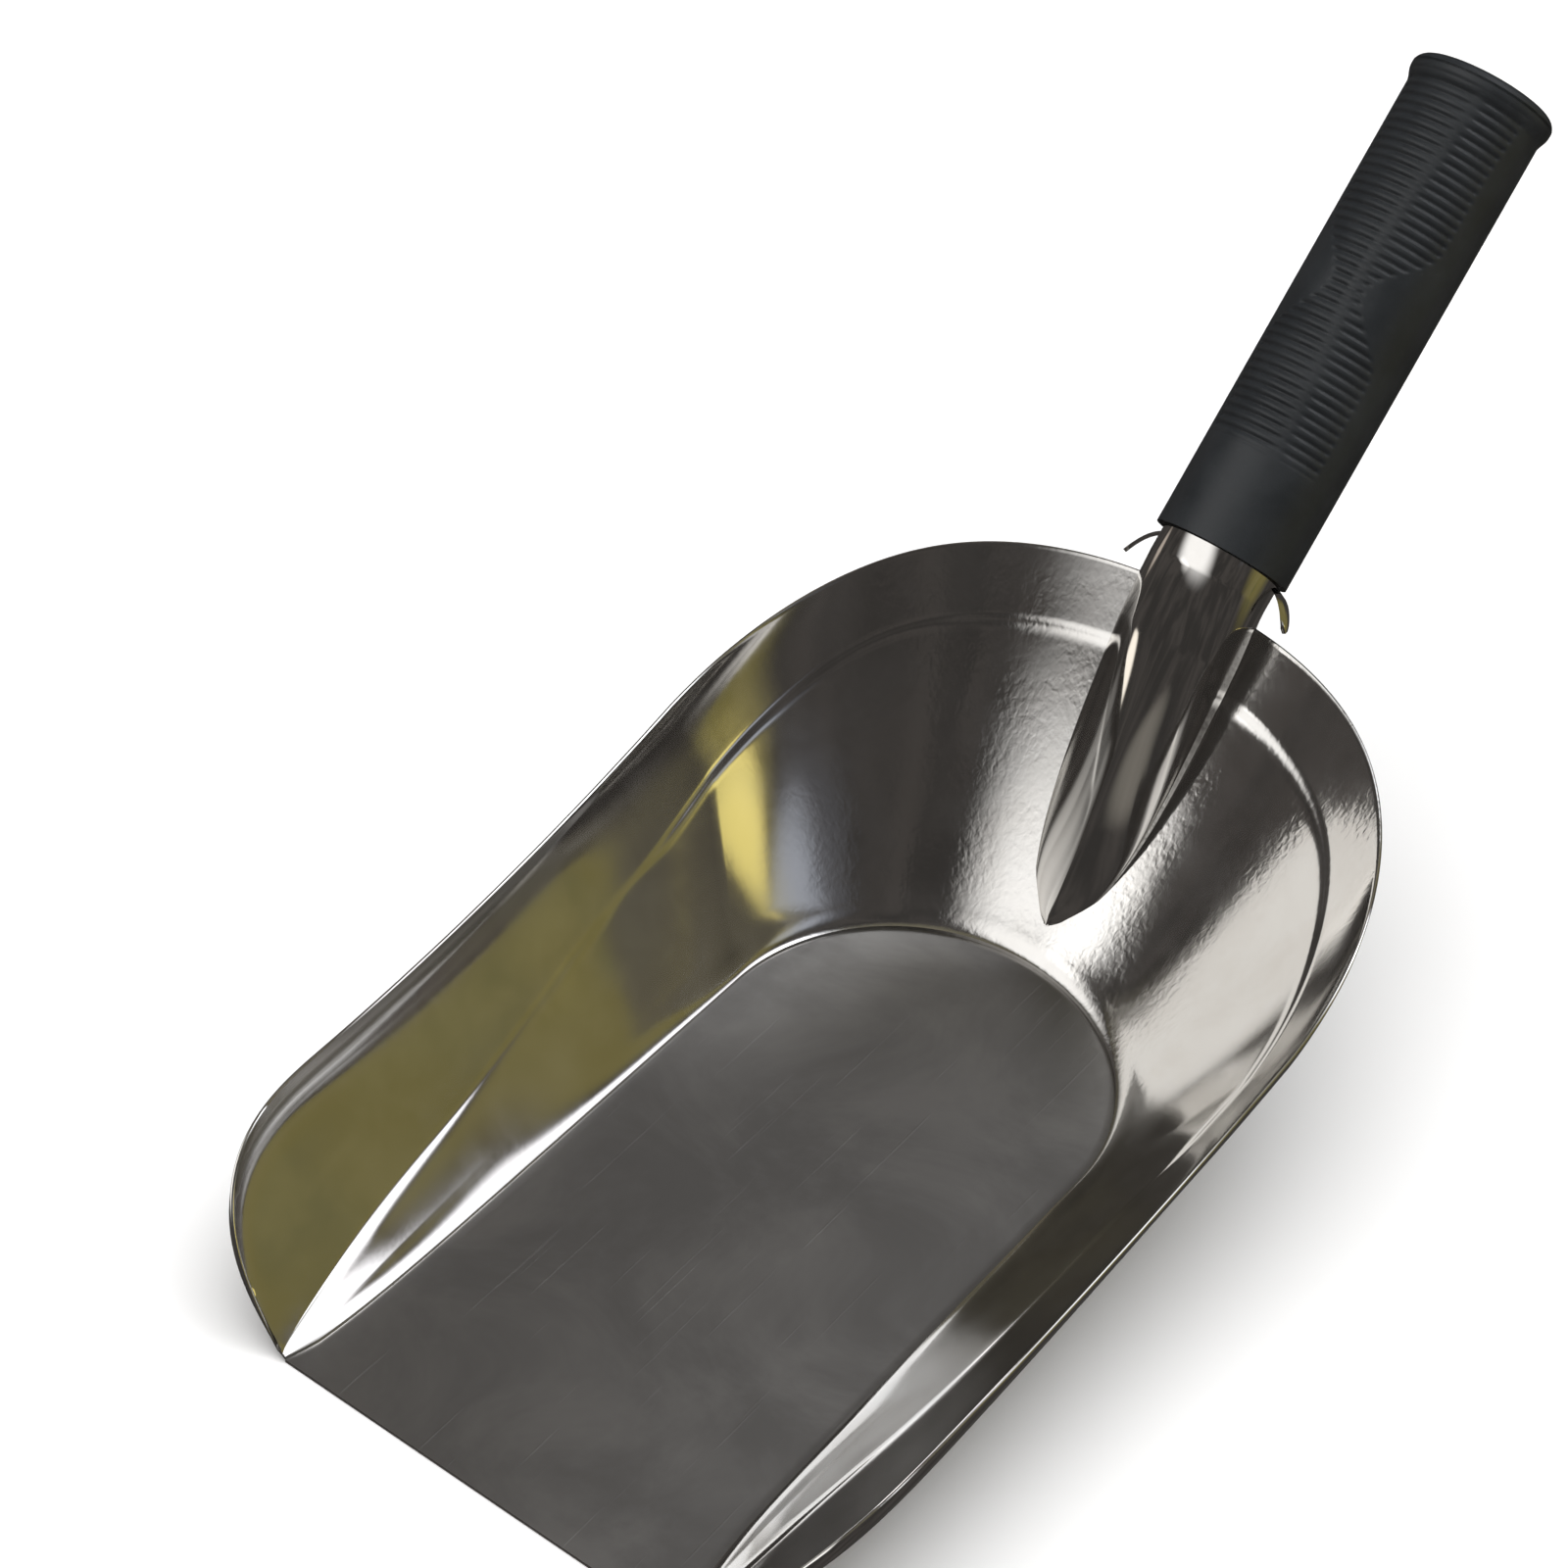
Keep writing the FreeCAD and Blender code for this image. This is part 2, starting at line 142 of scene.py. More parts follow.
PITCH = math.radians(HANDLE_PITCH)
ACROSS = np.array((1.0, 0, 0))
ALONG = np.array((0, math.cos(PITCH), math.sin(PITCH)))
ABOVE = np.array((0, -math.sin(PITCH), math.cos(PITCH)))


def place(points):
    """Millimetres in the pan's frame to metres in the model's frame."""
    return (np.asarray(points, float) + (0, 0, PAN_SHEET)) * MM + (0, LIP_Y, 0)


# ---------------------------------------------------------------- mesh helpers
class Sheet:
    """Collects vertices and faces, with two named numbers at each vertex."""

    def __init__(self):
        self.points, self.faces, self.marks = [], [], []

    def add(self, points, marks=None):
        points = np.asarray(points, float).reshape(-1, 3)
        first = len(self.points)
        self.points += list(points)
        self.marks += [(0.0, 0.0)] * len(points) if marks is None else list(marks)
        return np.arange(first, first + len(points))

    def join(self, rows, closed=False, flip=False):
        """Quads between each row of vertex numbers and the next."""
        rows = [np.append(row, row[0]) if closed else np.asarray(row) for row in rows]
        for low, high in zip(rows, rows[1:]):
            for j in range(len(low) - 1):
                face = [low[j], low[j + 1], high[j + 1], high[j]]
                face = [int(v) for n, v in enumerate(face) if v != face[n - 1]]
                if len(face) > 2:
                    self.faces.append(face[::-1] if flip else face)

    def cap(self, row, middle, flip=False):
        """A fan of triangles from one middle vertex to a closed row."""
        for j in range(len(row)):
            face = [int(row[j]), int(row[(j + 1) % len(row)]), int(middle)]
            self.faces.append(face[::-1] if flip else face)

    def piece(self, name, material, node, slot, sharp=40):
        mesh = bpy.data.meshes.new(name)
        mesh.from_pydata([tuple(p) for p in place(self.points)], [], self.faces)
        for k, mark in enumerate(("around", "level")):
            values = mesh.attributes.new(mark, "FLOAT", "POINT")
            values.data.foreach_set("value", [float(m[k]) for m in self.marks])
        mesh.validate()
        mesh.shade_smooth()
        mesh.set_sharp_from_angle(angle=math.radians(sharp))
        mesh.materials.append(material)
        piece = bpy.data.objects.new(name, mesh)
        bpy.context.scene.collection.objects.link(piece)
        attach(piece, "root")
        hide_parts(node)
        return piece


def smooth(share):
    share = np.clip(share, 0, 1)
    return share * share * (3 - 2 * share)


# ---------------------------------------------------------------- the pan's lines
def through(points, at):
    """Smooth curve through (position, value) pairs, read at one position."""
    at = min(max(at, points[0][0]), points[-1][0])
    i = max(k for k in range(len(points) - 1) if points[k][0] <= at or k == 0)

    def slope(k):
        low, high = max(k - 1, 0), min(k + 1, len(points) - 1)
        return (points[high][1] - points[low][1]) / (points[high][0] - points[low][0])

    (p0, v0), (p1, v1) = points[i], points[i + 1]
    span = p1 - p0
    s = (at - p0) / span
    return (v0 * (2 * s**3 - 3 * s**2 + 1) + v1 * (3 * s**2 - 2 * s**3)
            + slope(i) * span * (s**3 - 2 * s**2 + s) + slope(i + 1) * span * (s**3 - s**2))


def corner(angle, half_width, depth, power):
    """Point of a rounded corner, as (x, y) from its centre, at an angle from the side."""
    c, s = math.cos(angle), math.sin(angle)
    reach = ((abs(c) / half_width)**power + (abs(s) / depth)**power) ** (-1 / power)
    return reach * c, reach * s


def rim_height(y):
    rise = max(y - RIM_RISE_START, 0) / RIM_RISE_LENGTH
    share = rise**RIM_RISE_POWER / (1 + rise**RIM_LEVEL_POWER) ** (RIM_RISE_POWER / RIM_LEVEL_POWER)
    return RIM_SIDE_HEIGHT + (RIM_BACK_HEIGHT - RIM_SIDE_HEIGHT) * share


def floor_half_width(y):
    return FLOOR_HALF_WIDTH + LIP_SPREAD * math.exp(-y / LIP_SPREAD_DECAY)


def side_lines(share):
    """Floor edge, crease and rim along the side: share is 0 at the lip, 1 at the back corner."""
    y = FLOOR_STRAIGHT * share
    edge = np.array((floor_half_width(y), y, 0))
    y = CREASE_STRAIGHT * share
    spread = (CREASE_HALF_WIDTH - CREASE_LIP_HALF_WIDTH) * share**CREASE_SPREAD_POWER
    crease = np.array((CREASE_LIP_HALF_WIDTH + spread, y, through(CREASE_HEIGHTS, y)))
    growth = 1
    if share < WING_CORNER_SHARE:
        angle = math.pi / 2 * share / WING_CORNER_SHARE
        back, growth = corner(angle, 1, 1, WING_CORNER_POWER)
        y = WING_CORNER_LENGTH * (1 - back)
    else:
        rest = (share - WING_CORNER_SHARE) / (1 - WING_CORNER_SHARE)
        y = WING_CORNER_LENGTH + (RIM_STRAIGHT - WING_CORNER_LENGTH) * rest
    spread = (RIM_HALF_WIDTH - RIM_SIDE_HALF_WIDTH) * (y / RIM_STRAIGHT)**RIM_SPREAD_POWER
    full = RIM_SIDE_HALF_WIDTH + spread
    start = np.array((floor_half_width(0), 0, 0)) + RIM_LIP_START
    rim = start + (full - start[0], 0, rim_height(y) - start[2]) * np.array((growth, 0, growth))
    rim[1] = y
    return edge, crease, rim


def back_lines(angle):
    """Floor edge, crease and rim round the back: angle is 0 at the side, 90 degrees at x = 0."""
    x, y = corner(angle, FLOOR_HALF_WIDTH, FLOOR_BACK_DEPTH, 2)
    edge = np.array((x, FLOOR_STRAIGHT + y, 0))
    x, y = corner(angle, CREASE_HALF_WIDTH, CREASE_BACK_DEPTH, BACK_POWER)
    y += CREASE_STRAIGHT
    crease = np.array((x, y, through(CREASE_HEIGHTS, y)))
    x, y = corner(angle, RIM_HALF_WIDTH, RIM_BACK_DEPTH, BACK_POWER)
    y += RIM_STRAIGHT
    return edge, crease, np.array((x, y, rim_height(y)))


def bowed(start, end, share, bow):
    """Point between two lines of the section, moved outward by a share of their distance."""
    chord = end - start
    sideways = chord * (1, 1, 0)
    outward = sideways * chord[2] - np.array((0, 0, 1.0)) * sideways.dot(sideways)
    outward /= max(np.linalg.norm(outward), 1e-9)
    return start + chord * share + outward * (bow * np.linalg.norm(chord))


def wall_point(edge, crease, share):
    """Point of the wall, which is slightly hollow."""
    return bowed(edge, crease, share, 4 * share * (1 - share) * WALL_HOLLOW)


def wing_point(crease, rim, share):
    """Point of the wing, which is flared along the sides and turns up again at its rim."""
    to_back = smooth((rim[1] - RIM_STRAIGHT) / RIM_BACK_DEPTH * WING_FLARE_FADE)
    flare = WING_FLARE * (1 - to_back)
    power = WING_TURN_POWER + FRONT_TURN_POWER * math.exp(-rim[1] / FRONT_TURN_DECAY)
    return bowed(crease, rim, share, flare * (share - share**power))


def bent(start, turn, end, count):
    """Points of a rounded bend, without its last."""
    return [start * (1 - s)**2 + turn * (2 * s * (1 - s)) + end * s**2
            for s in (k / count for k in range(count))]


BEND_POINTS, WALL_POINTS, ROLL_POINTS, WING_POINTS = 8, 14, 8, 14


def section(edge, crease, rim):
    """One section of the pan's inside from the floor to the rim, and the level of each point.

    A cove leads from the floor into the wall, and the wall rolls over a little below the crease,
    where the steeper wing starts.
    """
    wall, wing = np.linalg.norm(crease - edge), np.linalg.norm(rim - crease)
    inward = np.array((-edge[0], FLOOR_STRAIGHT - edge[1] if edge[1] > FLOOR_STRAIGHT else 0, 0))
    inward /= np.linalg.norm(inward)
    off_wall = inward * (crease[2] - edge[2]) + (0, 0, -(crease - edge).dot(inward))
    off_wall /= np.linalg.norm(off_wall)
    cove, on_floor = (min(size, COVE_MOST_OF_WALL * wall) for size in (COVE_ON_WALL, COVE_ON_FLOOR))
    fold = min(CREASE_BEND, CREASE_BEND_MOST_OF_WALL * wall, CREASE_BEND_MOST_OF_WING * wing)
    roll = min(ROLL_WIDTH, ROLL_MOST_OF_WALL * wall)
    softer = smooth((crease[1] - ROLL_SOFT_FROM) / ROLL_SOFT_ONSET)
    softer *= smooth((ROLL_SOFT_TO - crease[1]) / ROLL_SOFT_END)
    lift = ROLL_TILT * roll / 3 * (1 - ROLL_SOFTENING * softer)

    def on_wall(share):
        to_crease = min((1 - share) * wall / roll, 1)
        return wall_point(edge, crease, share) + off_wall * lift * (1 - (1 - to_crease)**3)

    wall_from, roll_from = cove / wall, 1 - roll / wall
    wall_to, wing_from = 1 - fold / wall, fold / wing
    wall_shares = list(np.linspace(wall_from, roll_from, WALL_POINTS, endpoint=False))
    wall_shares += list(np.linspace(roll_from, wall_to, ROLL_POINTS, endpoint=False))
    wing_shares = list(np.linspace(wing_from, 1, WING_POINTS + 1))
    points = bent(edge + inward * on_floor, edge, on_wall(wall_from), BEND_POINTS)
    points += [on_wall(share) for share in wall_shares]
    points += bent(on_wall(wall_to), crease, wing_point(crease, rim, wing_from), BEND_POINTS)
    points += [wing_point(crease, rim, share) for share in wing_shares]
    levels = list(np.linspace(0, wall_from, BEND_POINTS, endpoint=False)) + wall_shares
    levels += list(np.linspace(wall_to, 1 + wing_from, BEND_POINTS, endpoint=False))
    levels += [1 + share for share in wing_shares]
    return points, levels


# ---------------------------------------------------------------- the pan
SIDE_STATIONS, BACK_STATIONS = 90, 80
STATIONS_CLOSER_AT_LIP = 1.15
FLOOR_COLUMNS = 40
RIM_ROUND_POINTS = 4
INSIDE, UNDERSIDE = 0.0, 3.0    # "level" marks: 0 to 1 is the wall, 1 to 2 the wing


def pan_grid():
    """Inside points of the pan, from the left front corner round the back to the right one."""
    lines = [side_lines((k / SIDE_STATIONS)**STATIONS_CLOSER_AT_LIP) for k in range(SIDE_STATIONS)]
    lines += [back_lines(math.pi / 2 * k / BACK_STATIONS) for k in range(BACK_STATIONS + 1)]
    sections = [section(*three) for three in lines]
    half = np.array([points for points, _ in sections])
    levels = np.array([level for _, level in sections])
    half[0, :, 1] = 0
    left = half * (-1, 1, 1)
    return np.concatenate([left, half[-2::-1]]), np.concatenate([levels, levels[-2::-1]])


def grid_normals(grid):
    """Normals on the inside, and directions up the wall."""
    round_pan, up_wall = np.gradient(grid, axis=0), np.gradient(grid, axis=1)
    normals = np.cross(up_wall, round_pan)
    normals /= np.linalg.norm(normals, axis=2, keepdims=True)
    normals[:, 0] = (0, 0, 1)
    return normals, up_wall / np.linalg.norm(up_wall, axis=2, keepdims=True)


def make_pan(material):
    grid, levels = pan_grid()
    normals, up_wall = grid_normals(grid)
    half_sheet = PAN_SHEET / 2
    grid[:, -1] -= up_wall[:, -1] * half_sheet
    under = grid - normals * PAN_SHEET
    under[[0, -1], :, 1] = 0
    under[:, :, 1] = np.maximum(under[:, :, 1], 0)
    stations = len(grid)
    sheet = Sheet()
    inner, outer = [], []
    for k in range(stations):
        around = k / (stations - 1)
        inner.append(sheet.add(grid[k], [(around, level) for level in levels[k]]))
        centre = grid[k, -1] - normals[k, -1] * half_sheet
        turns = [math.pi * n / (RIM_ROUND_POINTS + 1) for n in range(1, RIM_ROUND_POINTS + 1)]
        lip = [centre + (normals[k, -1] * math.cos(a) + up_wall[k, -1] * math.sin(a)) * half_sheet
               for a in turns]
        if k in (0, stations - 1):
            lip = [p * (1, 0, 1) for p in lip]
        edge = sheet.add(lip, [(around, 2.0)] * len(lip))
        back = sheet.add(under[k, ::-1], [(around, UNDERSIDE)] * len(under[k]))
        outer.append(np.concatenate([edge, back]))
    sheet.join([np.concatenate(pair) for pair in zip(inner, outer)])
    middle = stations // 2
    for side, flip, mark in ((inner, True, INSIDE), (outer, False, UNDERSIDE)):
        rows = []
        at_floor = 0 if side is inner else -1
        for k in range(middle):
            start, end = side[k][at_floor], side[-1 - k][at_floor]
            a, b = sheet.points[start], sheet.points[end]
            between = [a + (b - a) * n / FLOOR_COLUMNS for n in range(1, FLOOR_COLUMNS)]
            added = sheet.add(between, [(0.0, mark)] * len(between))
            rows.append(np.concatenate([[start], added, [end]]))
        rows.append(np.full(FLOOR_COLUMNS + 1, side[middle][at_floor]))
        sheet.join(rows, flip=flip)
        if side is inner:
            lip_top = rows[0]
        else:
            lip_bottom = rows[0]
    sheet.join([lip_top, lip_bottom], flip=True)
    for k, flip in ((0, False), (-1, True)):
        inside, outside = inner[k], outer[k][::-1][:len(inner[k])]
        sheet.join([inside, outside], flip=flip)
        rest = outer[k][:RIM_ROUND_POINTS]
        ends = [int(inside[-1])] + [int(v) for v in rest] + [int(outside[-1])]
        sheet.faces.append(ends if flip else ends[::-1])
    return sheet.piece("scoop_pan_sheet", material, "scoop_pan", "pan_steel", sharp=35)


# ---------------------------------------------------------------- the socket
NOSE_HEADING = np.array((0, 15.4, 19.7))
SPINE_STRAIGHT = 25
SPINE = (NOSE, NOSE + NOSE_HEADING, AXIS_POINT + ALONG * (ROUND_FROM - SPINE_STRAIGHT),
         AXIS_POINT + ALONG * ROUND_FROM)
SOCKET_LENGTH = np.linalg.norm(SPINE[3] - SPINE[0])
WALL_SEARCH, HALVINGS = (-0.2, 1.3), 40


def spine_at(t):
    """Point on the socket's curved middle line, its heading, and the direction above it."""
    a, b, c, d = SPINE
    point = a * (1 - t)**3 + b * (3 * t * (1 - t)**2) + c * (3 * t**2 * (1 - t)) + d * t**3
    heading = (b - a) * (1 - t)**2 + (c - b) * (2 * t * (1 - t)) + (d - c) * t**2
    heading = heading / np.linalg.norm(heading)
    return point, heading, np.array((0, -heading[2], heading[1]))


def wall_gap(point, heading, up):
    """Height of a point of the spine above the middle of the back wall, found by halving."""
    edge, crease, _ = back_lines(math.pi / 2)
    low, high = WALL_SEARCH
    for _ in range(HALVINGS):
        share = (low + high) / 2
        below = wall_point(edge, crease, share)
        if (below - point).dot(heading) < 0:
            low = share
        else:
            high = share
    return (point - below).dot(up)


def socket_size(t):
    """Half width, crest height and its power, depth and its power."""
    point, heading, up = spine_at(t)
    travelled = t * SOCKET_LENGTH
    half_width = TUBE_RADIUS
    half_width -= (TUBE_RADIUS - NOSE_HALF_WIDTH) * math.exp(-travelled / WIDTH_GROWTH) * (1 - t)
    if travelled < NOSE_TIP:
        half_width *= max(math.sqrt(1 - (1 - travelled / NOSE_TIP)**2), NOSE_LEAST_WIDTH)
    crest = NOSE_CREST + (TUBE_RADIUS - NOSE_CREST) * t**CREST_POWER
    crest_power = CREST_SHARPNESS + (2 - CREST_SHARPNESS) * min(t / CREST_ROUND_AT, 1)**CREST_ROUNDING
    closed = smooth((t - THROUGH_FROM) / (1 - THROUGH_FROM))
    on_wall = max(wall_gap(point, heading, up), 0) + 0.5 * PAN_SHEET
    depth = on_wall + (TUBE_RADIUS - on_wall) * closed
    return half_width, crest, crest_power, depth, SEAT_POWER + (2 - SEAT_POWER) * closed


SOCKET_ROWS, SOCKET_COLUMNS = 110, 144
ROWS_CLOSER_AT_NOSE = 1.4


def socket_ring(t):
    point, _, up = spine_at(t)
    half_width, crest, crest_power, depth, depth_power = socket_size(t)
    ring = []
    for k in range(SOCKET_COLUMNS):
        angle = 2 * math.pi * k / SOCKET_COLUMNS
        height, power = (crest, crest_power) if math.sin(angle) > 0 else (depth, depth_power)
        x, z = corner(angle, 1, 1, power)
        ring.append(point + ACROSS * (x * half_width) + up * (z * height))
    return ring


EAR_PATH = ((14.3, 105.0), (17.6, 104.6), (20.0, 101.5), (22.0, 97.0))
EAR_TURN, EAR_LEAN = 94.0, 23.0
EAR_HALF_HEIGHT, EAR_SHEET = 3.3, 1.0
EAR_TAPER, EAR_TIP, EAR_SQUARENESS = 0.5, 0.2, 5
EAR_STEPS, EAR_EDGE_POINTS = 18, 12


def add_ear(sheet, side):
    """The curled lip that leaves one side of the tube just in front of the grip."""
    turn, lean = math.radians(EAR_TURN), math.radians(EAR_LEAN)
    outward = ACROSS * (side * math.sin(turn)) + ABOVE * math.cos(turn)
    upright = ABOVE * math.cos(lean) - ACROSS * (side * math.sin(lean))
    rows = []
    corners = [np.array(pair) for pair in EAR_PATH]
    for k in range(EAR_STEPS + 1):
        t = k / EAR_STEPS
        weights = ((1 - t)**3, 3 * t * (1 - t)**2, 3 * t * t * (1 - t), t**3)
        reach, along = sum(w * c for w, c in zip(weights, corners))
        slopes = ((1 - t)**2, 2 * t * (1 - t), t * t)
        heading = sum(w * (b - a) for w, a, b in zip(slopes, corners, corners[1:]))
        face = np.cross(upright, outward * heading[0] + ALONG * heading[1]) * side
        face /= np.linalg.norm(face)
        past = max(t - (1 - EAR_TIP), 0) / EAR_TIP
        tip = math.sqrt(max(1 - past**2, 0.02))
        centre = AXIS_POINT + outward * reach + ALONG * along
        ring = []
        for n in range(EAR_EDGE_POINTS):
            angle = 2 * math.pi * n / EAR_EDGE_POINTS
            half_height = EAR_HALF_HEIGHT * tip * (1 - EAR_TAPER * t)
            x, z = corner(angle, half_height, EAR_SHEET / 2, EAR_SQUARENESS)
            ring.append(centre + upright * x + face * z)
        rows.append(sheet.add(ring, [(0.0, 1.0)] * EAR_EDGE_POINTS))
    sheet.join(rows, closed=True, flip=side > 0)
    for row, flip in ((rows[0], side < 0), (rows[-1], side > 0)):
        middle = np.mean([sheet.points[v] for v in row], axis=0)
        sheet.cap(row, sheet.add([middle])[0], flip=flip)


def make_socket(material):
    """The channel on the wall, the tube it closes into, the tube's bore and the two lips."""
    sheet = Sheet()
    rows = []
    for k in range(SOCKET_ROWS + 1):
        t = (k / SOCKET_ROWS)**ROWS_CLOSER_AT_NOSE
        ring = socket_ring(t)
        rows.append(sheet.add(ring, [(n / len(ring), t) for n in range(len(ring))]))
    start = np.array(socket_ring(1.0))
    for distance in np.linspace(0, TUBE_END - ROUND_FROM, 24)[1:]:
        rows.append(sheet.add(start + ALONG * distance, [(0.0, 1.0)] * len(start)))
    centre = AXIS_POINT + ALONG * TUBE_END
    bore = centre + (start - AXIS_POINT - ALONG * ROUND_FROM) * (1 - TUBE_SHEET / TUBE_RADIUS)
    for depth in (0, 20, 60, TUBE_END - ROUND_FROM):
        rows.append(sheet.add(bore - ALONG * depth, [(0.0, 1.0)] * len(start)))
    sheet.join(rows, closed=True)
    for side in (-1, 1):
        add_ear(sheet, side)
    sheet.cap(rows[0], sheet.add([NOSE])[0], flip=True)
    sheet.cap(rows[-1], sheet.add([AXIS_POINT + ALONG * ROUND_FROM])[0])
    return sheet.piece("handle_socket_sheet", material, "handle_socket", "socket_steel", sharp=80)


# ---------------------------------------------------------------- the rubber grip
def grip_radius(along, angle):
    """Outside radius of the grip, along its length and round it, angle 0 at its top."""
    length = GRIP_END - GRIP_START
    share = along / length
    radius = np.full(np.broadcast(along, angle).shape, GRIP_RADIUS)
    flare = smooth((along - (length - GRIP_FLARE_LENGTH)) / GRIP_FLARE_ONSET)
    radius = radius + (GRIP_FLARE_RADIUS - GRIP_RADIUS) * flare
    side = np.abs((angle + math.pi) % (2 * math.pi) - math.pi)
    in_panel = smooth(1 - np.abs((share - PANEL_MIDDLE) / PANEL_LENGTH))
    ribs_edge = math.radians(RIBS_HALF_ANGLE) - math.radians(PANEL_NARROWING) * in_panel
    ribs_edge = ribs_edge + math.radians(RIBS_END_WIDENING) * smooth((share - 0.8) / 0.2)
    fade = math.radians(RIB_FADE)
    ribbed = smooth((ribs_edge - side) / fade) + smooth((side - math.radians(UNDER_RIBS_FROM)) / fade)
    ribbed = ribbed * smooth((share - RIBS_FROM) / 0.012) * smooth((RIBS_TO - share) / 0.01)
    wave = np.sin(2 * math.pi * SEAM_WAVES * share)
    seam = math.radians(SEAM_TURN) + math.radians(SEAM_WAVE) * wave
    on_seam = np.exp(-((angle - seam) / math.radians(SEAM_WIDTH))**2)
    ribbed = ribbed * (1 - SEAM_SHARE * on_seam)
    ribs = (0.5 + 0.5 * np.cos(2 * math.pi * along / RIB_PITCH)) ** 2
    return radius - RIB_DEPTH * ribs * ribbed


GRIP_COLUMNS = 240
GRIP_ROW_STEP = 0.28
GRIP_ROWS_FROM, GRIP_ROWS_STOP = 1.2, 3.6
GRIP_EDGE_ROWS, GRIP_ROUND_ROWS, GRIP_DOME_ROWS = 5, 9, 14


def make_grip(material):
    length = GRIP_END - GRIP_START
    angles = np.arange(GRIP_COLUMNS) * 2 * math.pi / GRIP_COLUMNS
    around = ACROSS * np.sin(angles)[:, None] + ABOVE * np.cos(angles)[:, None]
    sheet = Sheet()
    rows = []

    def ring(along, radius):
        points = AXIS_POINT + ALONG * (GRIP_START + along) + around * np.reshape(radius, (-1, 1))
        marks = [(a / (2 * math.pi), along / length) for a in angles]
        rows.append(sheet.add(points, marks))

    ring(GRIP_EDGE, TUBE_RADIUS)
    ring(GRIP_MOUTH[0], TUBE_RADIUS + GRIP_MOUTH[1])
    for turn in np.linspace(0, 1, GRIP_EDGE_ROWS):
        back = GRIP_EDGE * (1 - math.sin(turn * math.pi / 2))
        ring(back, GRIP_RADIUS - back)
    for along in np.arange(GRIP_ROWS_FROM, length - GRIP_ROWS_STOP, GRIP_ROW_STEP):
        ring(along, grip_radius(along, angles))
    for turn in np.linspace(0, 1, GRIP_ROUND_ROWS):
        a = turn * math.pi / 2
        along = length - GRIP_END_DOME - GRIP_END_ROUND + GRIP_END_ROUND * math.sin(a)
        ring(along, GRIP_FLARE_RADIUS - GRIP_END_ROUND * (1 - math.cos(a)))
    for share in np.linspace(1, 0.02, GRIP_DOME_ROWS)[1:]:
        ring(length - GRIP_END_DOME * share**2, (GRIP_FLARE_RADIUS - GRIP_END_ROUND) * share)
    sheet.join(rows, closed=True)
    tip = sheet.add([AXIS_POINT + ALONG * GRIP_END], [(0.0, 1.0)])[0]
    sheet.cap(rows[-1], tip)
    return sheet.piece("rubber_grip_sleeve", material, "rubber_grip", "grip_rubber", sharp=50)


# ---------------------------------------------------------------- materials
class Nodes:
    """Short ways to add and link shader nodes."""

    def __init__(self, tree):
        self.tree = tree
        tree.nodes.clear()

    def add(self, kind, **settings):
        node = self.tree.nodes.new(kind)
        for name, value in settings.items():
            setattr(node, name, value)
        return node

    def feed(self, socket, value):
        if isinstance(value, bpy.types.NodeSocket):
            self.tree.links.new(value, socket)
        elif value is not None:
            socket.default_value = value

    def math(self, operation, a, b):
        node = self.add("ShaderNodeMath", operation=operation)
        self.feed(node.inputs[0], a)
        self.feed(node.inputs[1], b)
        return node.outputs[0]

    def vector(self, operation, a, b=None, scale=None):
        node = self.add("ShaderNodeVectorMath", operation=operation)
        self.feed(node.inputs[0], a)
        if scale is None:
            self.feed(node.inputs[1], b)
        else:
            self.feed(node.inputs[3], scale)
        return node.outputs["Value" if operation == "DOT_PRODUCT" else "Vector"]

    def ramp(self, value, low, high, to_low=0.0, to_high=1.0):
        node = self.add("ShaderNodeMapRange", interpolation_type="SMOOTHSTEP")
        for socket, number in zip(node.inputs, (value, low, high, to_low, to_high)):
            self.feed(socket, number)
        return node.outputs[0]

    def noise(self, vector, scale, detail=3.0, roughness=0.55, distortion=0.0):
        node = self.add("ShaderNodeTexNoise")
        self.feed(node.inputs["Vector"], vector)
        self.feed(node.inputs["Scale"], scale)
        self.feed(node.inputs["Detail"], detail)
        self.feed(node.inputs["Roughness"], roughness)
        self.feed(node.inputs["Distortion"], distortion)
        return node.outputs[0]

    def mix(self, share, a, b):
        node = self.add("ShaderNodeMix", data_type="RGBA")
        self.feed(node.inputs["Factor"], share)
        self.feed(node.inputs["A"], a)
        self.feed(node.inputs["B"], b)
        return node.outputs["Result"]

    def blend(self, share, a, b):
        node = self.add("ShaderNodeMix", data_type="FLOAT")
        self.feed(node.inputs["Factor"], share)
        self.feed(node.inputs["A"], a)
        self.feed(node.inputs["B"], b)
        return node.outputs["Result"]

    def mapped(self, scale, rotation=(0, 0, 0)):
        coordinates = self.add("ShaderNodeTexCoord")
        mapping = self.add("ShaderNodeMapping")
        self.feed(mapping.inputs["Vector"], coordinates.outputs["Object"])
        mapping.inputs["Scale"].default_value = scale
        mapping.inputs["Rotation"].default_value = [math.radians(r) for r in rotation]
        return mapping.outputs[0]

    def mark(self, name):
        return self.add("ShaderNodeAttribute", attribute_name=name).outputs["Fac"]

    def bump(self, height, distance, strength=1.0, normal=None):
        node = self.add("ShaderNodeBump")
        self.feed(node.inputs["Height"], height)
        self.feed(node.inputs["Distance"], distance)
        self.feed(node.inputs["Strength"], strength)
        self.feed(node.inputs["Normal"], normal)
        return node.outputs[0]

    def shader(self, **values):
        shader = self.add("ShaderNodeBsdfPrincipled")
        for name, value in values.items():
            self.feed(shader.inputs[name.replace("_", " ").title().replace("Ior", "IOR")], value)
        output = self.add("ShaderNodeOutputMaterial")
        self.tree.links.new(shader.outputs[0], output.inputs[0])
        return shader


def new_material(name):
    material = bpy.data.materials.new(name)
    material.use_nodes = True
    return material, Nodes(material.node_tree)


